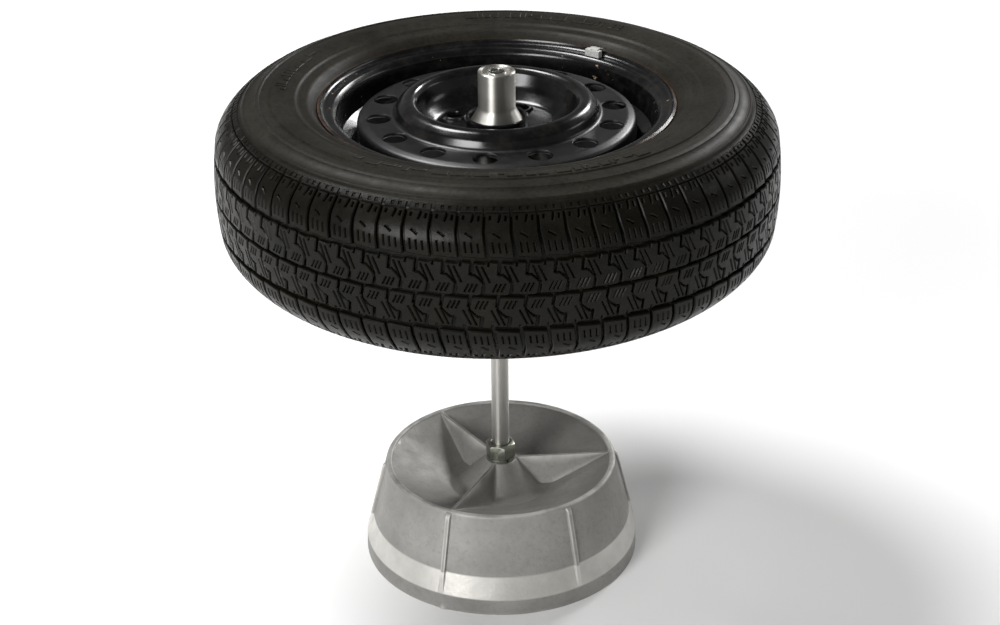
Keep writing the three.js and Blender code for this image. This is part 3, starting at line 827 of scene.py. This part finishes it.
def vial():
    cup_low, cup_high = foot("vial_cup"), top("vial_cup")
    flange = cup_low + 0.8
    cup = turned("cup", [
        (0, cup_low), (14.6, cup_low, 0.2), (14.6, flange, 0.2), (9.9, flange, 0.3),
        (9.9, cup_high, 0.3), (9, cup_high, 0.2), (9, flange + 0.1, 0.2), (0, flange + 0.1),
    ], "head", "vial_metal")
    boolean(cup, screw_holes(cup_low - 1, flange + 1, 26), "DIFFERENCE")
    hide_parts("vial_cup")
    low, high = foot("vial_lens"), top("vial_lens")
    lens = turned("lens", [
        (0, low), (8.7, low, 0.15), (8.7, cup_high - 0.1, 0.2), (7.7, cup_high - 0.1, 0.2),
        (7.2, cup_high + 0.35, 0.4), (5.5, high - 0.22, 2), (3, high - 0.05, 2), (0, high),
    ], "head", "vial_glass", 72)
    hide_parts("vial_lens")
    bezel_low, bezel_high = foot("vial_bezel"), top("vial_bezel")
    bezel = turned("bezel", [
        (7.9, bezel_low, 0.1), (9.9, bezel_low, 0.15), (9.9, bezel_high, 0.3), (7.9, bezel_high, 0.25),
    ], "head", "vial_metal")
    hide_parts("vial_bezel")
    bubble_low, bubble_high = foot("vial_bubble"), top("vial_bubble")
    middle, half = (bubble_low + bubble_high) / 2, (bubble_high - bubble_low) / 2
    arc = [(2.1 * math.cos(a), middle + half * math.sin(a))
           for a in np.linspace(-math.pi / 2, math.pi / 2, 13)]
    arc[0], arc[-1] = (0, bubble_low), (0, bubble_high)
    bubble = turned("bubble_skin", arc, "bubble", "vial_glass", 40)
    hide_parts("vial_bubble")
    liquid_top = top("vial_liquid")
    target = turned("target_ring", [
        (2.9, liquid_top + 0.02), (3.25, liquid_top + 0.02), (3.25, liquid_top + 0.1),
        (2.9, liquid_top + 0.1),
    ], "head", "cap_plastic", 64)


def level_screws():
    """Cheese-head screws with a slot."""
    for i, angle in enumerate(SCREW_ANGLES):
        node = f"level_screw_{i + 1}"
        low, high = foot(node), top(node)
        under = high - 1.8
        screw = turned(f"vial_screw_{i + 1}", [
            (0, low), (1.25, low, 0.3), (1.25, under, 0.1), (2, under, 0.15), (2, high, 0.35),
            (0, high),
        ], "head", "hard_steel", 40)
        screw.data.transform(shift_to(on_circle(SCREW_CIRCLE_R, angle, 0)))
        slot_cut = bpy.data.meshes.new("cutter")
        bm = bmesh.new()
        bmesh.ops.create_cube(bm, size=1)
        bm.to_mesh(slot_cut)
        bm.free()
        size = Matrix.Diagonal((5 * MM, 0.55 * MM, 1.6 * MM, 1))
        slot_cut.transform(Matrix.Rotation(angle + 0.7 * i, 4, "Z") @ size)
        slot_cut.transform(shift_to(on_circle(SCREW_CIRCLE_R, angle, high)))
        boolean(screw, [placed("cutter", slot_cut)], "DIFFERENCE")
        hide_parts(node)


# ------------------------------ rim and disc

RIM_MID = (foot("wheel_rim") + top("wheel_rim")) / 2
RIM_HALF = 69.85
SHEET = 3.0                     # thickness of the rim
DISC_SHEET = 3.5
WELL_R = 146.0
SEAT_R = 168.5                  # foot of the flange
CURL_R = 172.9                  # where the flange starts to curl outwards
CURL_BEND = 9.5                 # radius of that curl
VALVE_ANGLE = math.radians(-100)
VALVE_LEAN = math.radians(-14)
VALVE_PLACE = on_circle(155.5, VALVE_ANGLE, RIM_MID + 37.5)
VALVE_TURN = Matrix.Rotation(VALVE_ANGLE, 4, "Z") @ Matrix.Rotation(VALVE_LEAN, 4, "Y")
LUG_CIRCLE_R = 50
VENT_CIRCLE_R = 121


def shifted(line, distance):
    """The open line moved sideways, to its left where the distance is positive."""
    line = np.array(line, float)
    steps = np.diff(line, axis=0)
    normals = np.stack([-steps[:, 1], steps[:, 0]], 1) / np.linalg.norm(steps, axis=1)[:, None]
    first = np.vstack([normals[:1], normals])
    second = np.vstack([normals, normals[-1:]])
    total = first + second
    return line + total * (2 * distance / (total**2).sum(1))[:, None]


def flange_curl():
    """The tyre's side of the flange's lip, from the lip to the flat of the flange."""
    return [(CURL_R + CURL_BEND * math.sin(a), RIM_HALF + CURL_BEND * (1 - math.cos(a)))
            for a in np.linspace(math.radians(74), 0, 10)]


def rim_side(ledge):
    """The tyre's side of half the rim, from the lip to the well, as heights above the middle."""
    seat = [(SEAT_R, RIM_HALF, 3), (165.1, RIM_HALF - 3.5, 4), (163.6, RIM_HALF - 21, 3)]
    return rounded(flange_curl() + seat + ledge, 5)


def wheel_rim():
    upper = rim_side([(161.5, 41, 4), (149.5, 34, 4), (WELL_R, 29.5)])
    lower = rim_side([(150, 30, 5), (WELL_R, 22)])
    line = [(r, RIM_MID - z) for r, z in lower] + [(r, RIM_MID + z) for r, z in reversed(upper)]
    inside = shifted(line, SHEET)
    rim = turned("rim", line + [tuple(p) for p in inside[::-1]], "wheel", "black_enamel", 256)
    hole = cutter([(0, -8), (6.5, -8), (6.5, 10), (0, 10)], VALVE_PLACE, VALVE_TURN)
    boolean(rim, [hole], "DIFFERENCE")
    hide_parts("wheel_rim")


def disc_face():
    """The visible face of the disc, from the bolt face outwards and down its skirt."""
    skirt = WELL_R - SHEET - 0.4
    return rounded([
        (33.5, 500.3), (63, 500.3, 12), (76, 512.5, 22), (81.2, 526.5, 7), (86, 531.8, 7),
        (94.5, 531.2, 11), (101.5, 525, 9), (105.5, 515.3, 6), (133, 514.6, 11), (skirt, 511, 8),
        (skirt, foot("wheel_disc")),
    ], 8)


def wheel_disc():
    face = disc_face()
    under = shifted(face, -DISC_SHEET)
    collar = [(31.5, 502.5), (31.5, 510.8), (30.6, 511.8), (29.1, 511.8), (28.3, 511), (28.3, 505),
              (29, 503.5), (30.6, 500.9), (32.4, 498.2)]
    outline = collar + [tuple(p) for p in under[1:]] + face[::-1]
    disc = turned("disc", outline, "wheel", "black_enamel", 256)
    lugs, vents = around(4, 60), around(14, 7.4)
    seat = [(0, 499), (13.5, 499), (13, 500.4, 1.5), (11, 502.6, 1), (0, 502.6)]
    boolean(disc, ring_of(seat, LUG_CIRCLE_R, lugs, 44), "UNION")
    hole = [(0, 485), (7.5, 485), (7.5, 499.5), (9.6, 504.6), (9.6, 510), (0, 510)]
    vent = [(0, 505), (13.4, 505), (13.4, 511), (12.3, 512.2), (12.3, 514), (12.9, 514.9),
            (13.8, 515.6), (13.8, 521), (0, 521)]
    cuts = ring_of(hole, LUG_CIRCLE_R, lugs, 34) + ring_of(vent, VENT_CIRCLE_R, vents, 46)
    boolean(disc, cuts, "DIFFERENCE")
    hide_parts("wheel_disc")


# ------------------------------ tyre

TYRE_R = radius("tyre")
TREAD_HALF = 45.0
CROWN = 3.2
WALL_HALF = (top("tyre") - foot("tyre")) / 2
WALL_R = 231.5
SHOULDER_POWER = 1.6
PITCHES = 70
PITCH = TAU * TYRE_R / PITCHES
GROOVE = 4.6                    # depth of the tread's grooves
TREAD_EDGE = 80.0               # from the tread's middle to its shoulder, along the surface
BAND_EDGE = 88.0                # the same to the outside of the toothed band
HALF_TURN = 0.42 * PITCH        # where a pitch's pattern repeats, turned by half a turn
EASE = 1.0                      # width of the eased edges of the tread's blocks
SIDE_GAP = 2.3                  # half the width of the side groove
CENTRE_GAP = 1.4                # half the width of the centre groove


def tyre_profile():
    """The tyre's outside, from its middle to the widest point, as [radius, height above the middle]."""
    crown = [(TYRE_R - CROWN * (k / 24) ** 2, TREAD_HALF * k / 24) for k in range(25)]
    edge_r = TYRE_R - CROWN
    power = 2 / SHOULDER_POWER
    shoulder = []
    for k in range(1, 61):
        a = math.pi / 2 * (1 - k / 60)
        shoulder.append((WALL_R + (edge_r - WALL_R) * math.sin(a) ** power,
                         TREAD_HALF + (WALL_HALF - TREAD_HALF) * math.cos(a) ** power))
    return np.array(crown + shoulder)


PROFILE = tyre_profile()
ALONG = np.concatenate([[0], np.cumsum(np.linalg.norm(np.diff(PROFILE, axis=0), axis=1))])
SLOPES = np.gradient(PROFILE, ALONG, axis=0)


def on_tyre(s, v, depth):
    """Places points given round the tyre, across it and below its surface, all in millimetres."""
    side, v = np.sign(v), np.abs(v)
    r = np.interp(v, ALONG, PROFILE[:, 0])
    z = np.interp(v, ALONG, PROFILE[:, 1])
    slope_r = np.interp(v, ALONG, SLOPES[:, 0])
    slope_z = np.interp(v, ALONG, SLOPES[:, 1])
    length = np.hypot(slope_r, slope_z)
    r = r - depth * slope_z / length
    z = z + depth * slope_r / length
    angle = s / TYRE_R
    return np.stack([r * np.cos(angle), r * np.sin(angle), RIM_MID + side * z], -1)


def side_point(r, depth):
    """A point of the upper sidewall at a radius and a depth below the plain profile."""
    v = np.interp(-r, -PROFILE[:, 0], ALONG)
    x, _, z = on_tyre(0, v, depth)
    return float(x), float(z) - RIM_MID


def tyre_carcass():
    """The tyre without its tread blocks: sidewalls with their rings, beads, and the grooves' floor."""
    half = []
    for v in np.linspace(0, BAND_EDGE + 0.6, 44):
        depth = GROOVE - (GROOVE - 1.1) * smooth_step((v - TREAD_EDGE + 2) / 4)
        x, _, z = on_tyre(0, v, depth)
        half.append((float(x), float(z) - RIM_MID))
    half += [side_point(r, depth) for r, depth in [
        (259.6, 1.1), (259.2, 1.0), (258.2, 0.1), (256.2, 0.0), (255.4, 0.8), (250, 0.8), (244.6, 0.8),
        (243.8, 0.05), (240.6, 0.0), (239.8, 1.5), (234, 1.6), (231.6, 1.5)]]
    w = WALL_HALF
    half += [
        (229.4, w - 1.5), (228.4, w - 0.1), (224, w - 0.05), (218, w - 0.6), (211, w - 2),
        (207.4, w - 3.1), (206.6, w - 2.8), (203.4, w - 3.9), (202.6, w - 4.9), (198, w - 6.3),
        (195.5, w - 5.8), (192, w - 6.4), (190, w - 8), (188, w - 9.6), (184.4, w - 13.6),
        (180.6, RIM_HALF + 2.7), (176.9, RIM_HALF + 0.3), (CURL_R, RIM_HALF - 0.5),
        (SEAT_R, RIM_HALF - 0.5), (165.7, RIM_HALF - 3.8), (164.5, RIM_HALF - 17),
        (170.1, RIM_HALF - 17), (198, w - 17), (232, w - 9), (258, w - 21), (272, 47),
    ]
    outline = [(r, RIM_MID - z) for r, z in reversed(half[1:])] + [(r, RIM_MID + z) for r, z in half]
    outline.append((275, RIM_MID))
    mesh = mesh_of("carcass", *lathe(outline, 280))
    carcass = finish_object("carcass", mesh, "wheel", "tyre_rubber", 40)
    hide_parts("tyre")


BAR_R = 220                     # radius at which the bars' lengths are measured
BAR_ARCS = ((-128, -52), (52, 96), (150, 178))      # degrees


def raised_bars():
    """Plain raised bars in an arc on both sidewalls, where a tyre carries its moulded marks."""
    dice = random.Random(11)
    points, faces = [], []
    for first, last in BAR_ARCS:
        angle = math.radians(first)
        while angle < math.radians(last):
            length = dice.choice((3.2, 5.5, 5.5, 9, 14))
            inner, outer = dice.choice(((214.5, 225.5), (214.5, 225.5), (219, 225.5), (214.5, 220)))
            for side in (1, -1):
                add_bar(points, faces, angle, length / BAR_R, inner, outer, side)
            angle += (length + dice.choice((2.4, 2.4, 3.4, 8))) / BAR_R
    mesh = mesh_of("raised_bars", points, faces)
    bars = finish_object("raised_bars", mesh, "wheel", "tyre_rubber", 25)
    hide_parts("tyre")


def add_bar(points, faces, angle, width, inner, outer, side):
    """One bar with eased edges, sunk a little into the sidewall."""
    start = len(points)
    steps, ease, sunk, tall = 4, 0.5, -1.6, 1.1
    for inset_by, lift in ((0, sunk), (0, tall - 0.4), (ease, tall)):
        turn = inset_by / BAR_R
        for r in (inner + inset_by, outer - inset_by):
            wall = WALL_HALF - 0.05 - 2.1 * max(0, (224 - r) / 13) ** 1.4
            for k in range(steps + 1):
                a = angle + turn + (width - 2 * turn) * k / steps
                points.append(on_circle(r, a, RIM_MID + side * (wall + lift)))
    row = steps + 1
    for level in (0, 1):
        low, high = start + level * 2 * row, start + (level + 1) * 2 * row
        loop = [*range(row), *range(2 * row - 1, row - 1, -1)]
        for a, b in zip(loop, loop[1:] + loop[:1]):
            faces.append((low + a, low + b, high + b, high + a))
    for base in (start, start + 4 * row):
        faces += [(base + k, base + k + 1, base + row + k + 1, base + row + k) for k in range(steps)]


def strip(path, width, end_width):
    """The outline of a groove along a path of points."""
    path = np.array(path, float)
    widths = np.linspace(width, end_width, len(path)) / 2
    unit = shifted(path, 1) - path
    left, right = path + unit * widths[:, None], path - unit * widths[:, None]
    return [tuple(p) for p in left] + [tuple(p) for p in right[::-1]]


UPPER_GROOVE = [(0.2, 90), (0, 80), (-0.3, 62), (3.5, 36), (3.9, 32)]
STEP_1, STEP_2 = 35.4, 0.0      # middles of the side groove and of the centre groove


def side_groove(s):
    """The side groove's middle at a place along the tyre: a slant in each pitch, and a step back."""
    t = ((s - 3.6) / PITCH) % 1
    return STEP_1 + 0.9 - 1.8 * min(t / 0.86, (1 - t) / 0.14)


def centre_groove(s):
    t = ((s - 0.9 * PITCH) / PITCH) % 1
    return STEP_2 + 0.7 - 1.4 * min(t / 0.86, (1 - t) / 0.14)


def band(lower, upper):
    """The lower and upper edge of a band round three pitches."""
    s = np.linspace(-1, 2, 39) * PITCH
    return [(x, lower(x)) for x in s], [(x, upper(x)) for x in s]


def inset(line, distance):
    return [(s, v + distance) for s, v in line]


def repeated(cuts):
    """The cuts of a pitch and of its two neighbours."""
    return [([(s + k * PITCH, v) for s, v in path], a, b) for path, a, b in cuts for k in (-1, 0, 1)]


def cut(path, width, end_width=None):
    """A groove's path and its width at both ends."""
    return path, width, end_width or width


def shoulder_cuts():
    """Grooves, notches and sipes of a shoulder block. The block is a pitch wide."""
    p = PITCH
    wide = cut(UPPER_GROOVE[1:], 2.3, 3.3)
    thin = cut(UPPER_GROOVE[:2], 1.6, 2.0)
    notch = cut([(0.6 * p, 82), (0.58 * p, 77), (0.54 * p, 72.5), (0.5 * p, 70.5)], 2.2, 1.2)
    slant = cut([(0.3 * p, 61), (0.42 * p, 59.5), (0.58 * p, 56.6)], 1.0)
    sipes = [cut([(0.30 * p + k, 53 - 0.6 * i), (0.30 * p + k + 1.4, 42.5)], 0.55)
             for i, k in enumerate((0, 6, 12))]
    dots = [cut([(0.22 * p, 77.5), (0.2 * p, 73)], 1.5), cut([(0.8 * p, 77.5), (0.78 * p, 72)], 1.5)]
    return [wide, thin, notch, slant, *sipes, *dots]


def buttress_cuts():
    """Slots of the toothed band outside the shoulder blocks, two marks to each tooth."""
    p = PITCH
    marks = [cut([(a * p, 86.5), (a * p + 0.4, 82.5)], 1.8) for a in (0.36, 0.66)]
    return [cut([(0.3, 90), (0, 79)], 3.0), *marks]


def centre_cuts():
    """Notches and sipes of a centre rib. A zigzag of notch, sipe and notch parts the pitches."""
    p = PITCH
    s0 = 0.55 * p
    notch_top = cut([(s0 + 0.5, 36), (s0, 31), (s0 - 1.2, 21)], 3.4, 2.4)
    link = cut([(s0 - 1.4, 21.6), (s0 + 2.6, 21.6), (s0 + 6.6, 18.2), (s0 + 10.6, 13.8),
                (s0 + 11.2, 10)], 1.0)
    notch_low = cut([(s0 + 11.5, 11), (s0 + 10.4, 5), (s0 + 9.6, -1)], 2.4, 3.0)
    falls = [cut([(s0 + a, 30.5 - 0.5 * i), (s0 + a + 7.4, 13 + i)], 0.7)
             for i, a in enumerate((4.2, 9.4))]
    rises = [cut([(s0 + a, 13), (s0 + a - 4.2, 4.4)], 0.6) for a in (-2.6, 1.4, 5.4)]
    bite = cut([(s0 - 9.5, 35), (s0 - 10.6, 29.5)], 1.6, 1.0)
    return [notch_top, link, notch_low, *falls, *rises, bite]


def lofted(levels):
    """A throwaway object through outlines of the same number of points, each at its own height."""
    count = len(levels[0][1])
    points = [(x, y, z) for z, outline in levels for x, y in outline]
    faces = [tuple(range(count - 1, -1, -1)), tuple(len(points) - count + k for k in range(count))]
    mesh = bpy.data.meshes.new("flat")
    mesh.from_pydata(points, [], faces + ring_faces(len(levels), count))
    face_outwards(mesh)
    return placed("flat", mesh)


def slice_across(bm, place, normal, clear=False):
    """Slices everything in a plane, and clears the side that the normal points to where asked."""
    everything = bm.verts[:] + bm.edges[:] + bm.faces[:]
    bmesh.ops.bisect_plane(bm, geom=everything, plane_co=place, plane_no=normal, clear_outer=clear)


def one_pitch(outline, cuts, slices):
    """One pitch of a rib, flat: a slab cut by its grooves, with its edges eased and sliced across."""
    lower, upper = outline
    flat, eased = lower + upper[::-1], inset(lower, EASE) + inset(upper, -EASE)[::-1]
    slab = lofted([(-GROOVE - 1, flat), (-EASE, flat), (0, eased)])
    for path, width, end_width in repeated(cuts):
        narrow, wide = (strip(path, width + e, end_width + e) for e in (0, 2 * EASE + 0.2))
        tool = lofted([(-GROOVE - 2, narrow), (-EASE, narrow), (0.1, wide)])
        add_boolean(slab, tool, "DIFFERENCE")
    mesh = applied(slab)
    for modifier in slab.modifiers:
        bpy.data.objects.remove(modifier.object)
    bpy.data.objects.remove(slab)
    bm = bmesh.new()
    bm.from_mesh(mesh)
    slice_across(bm, (0, 0, 0), (-1, 0, 0), True)
    slice_across(bm, (PITCH, 0, 0), (1, 0, 0), True)
    for v in slices:
        slice_across(bm, (0, v, 0), (0, 1, 0))
    slice_across(bm, (PITCH / 2, 0, 0), (1, 0, 0))
    bmesh.ops.remove_doubles(bm, verts=bm.verts, dist=1e-4)
    points = np.array([v.co[:] for v in bm.verts])
    faces = [tuple(v.index for v in f.verts) for f in bm.faces]
    bm.free()
    return points, faces


def turned_line(line):
    """A line of the upper half's pattern where the lower half has it."""
    return [(HALF_TURN - s, -v) for s, v in line]


def tyre_tread():
    """The four ribs of the tread and the two bands of its shoulders, one pitch of each repeated."""
    shoulder = band(lambda s: side_groove(s) + SIDE_GAP, lambda s: TREAD_EDGE)
    centre = band(lambda s: centre_groove(s) + CENTRE_GAP, lambda s: side_groove(s) - SIDE_GAP)
    buttress = band(lambda s: TREAD_EDGE + 1.0, lambda s: BAND_EDGE)
    ribs = [
        (shoulder, shoulder_cuts(), (42, 48, 54, 60, 65, 70, 75)),
        (centre, centre_cuts(), (12, 24)),
        (buttress, buttress_cuts(), (84.5,)),
    ]
    points, faces, offset = [], [], 0
    for edges, cuts, slices in ribs:
        for lower in (False, True):
            if lower:
                edges = turned_line(edges[1])[::-1], turned_line(edges[0])[::-1]
                cuts = [(turned_line(path), a, b) for path, a, b in cuts]
                slices = [-v for v in slices]
            flat, flat_faces = one_pitch(edges, cuts, slices)
            for k in range(PITCHES):
                points.append(on_tyre(flat[:, 0] + k * PITCH, flat[:, 1], -flat[:, 2]))
                faces += [tuple(i + offset for i in face) for face in flat_faces]
                offset += len(flat)
    return np.concatenate(points), faces


def tread():
    mesh = mesh_of("tread", *tyre_tread())
    bm = bmesh.new()
    bm.from_mesh(mesh)
    bmesh.ops.remove_doubles(bm, verts=bm.verts, dist=0.02 * MM)
    bm.to_mesh(mesh)
    bm.free()
    piece = finish_object("tread", mesh, "wheel", "tyre_rubber", 30)
    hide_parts("tyre")


# ------------------------------ valve and small pieces


def valve():
    """The stem and its cap, turned about Z and then stood in the rim."""
    pieces = [
        ("stem", "valve_stem", "valve_rubber", [
            (0, -11), (8.5, -11, 1), (8.5, -3.2, 1), (5.6, -3.2, 0.5), (5.6, 5.5, 1.2), (4.3, 8, 2),
            (3.9, 15, 0.5), (0, 15)]),
        ("cap", "valve_cap", "cap_plastic", [
            (0, 15.3), (4.6, 15.3, 0.4), (4.6, 22.5, 1.2), (3.6, 23.5, 0.6), (0, 23.5)]),
    ]
    for name, node, slot, outline in pieces:
        piece = turned(name, outline, "wheel", slot, 40)
        piece.data.transform(shift_to(VALVE_PLACE) @ VALVE_TURN)
        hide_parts(node)


def finish_rest():
    """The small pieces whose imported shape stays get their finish."""
    for node, look in {
        "pivot_cup": "hard_steel", "pivot_ball": "hard_steel", "pivot_seat": "hard_steel",
        "levelling_pad": "pad_rubber", "vial_liquid": "vial_liquid",
        "balance_weight": "weight_metal", "weight_clip": "weight_metal",
    }.items():
        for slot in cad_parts[node].material_slots:
            slot.material = LOOKS[look]


# ------------------------------ the whole

make_camera()
make_floor()
make_light()

base_casting()
post()
hex_nut("post_nut", "upper_nut")
hex_nut("under_nut", "lower_nut")
spring_washer()
flat_washer()
balancer_head()
vial()
level_screws()
wheel_rim()
wheel_disc()
tyre_carcass()
raised_bars()
tread()
valve()
finish_rest()
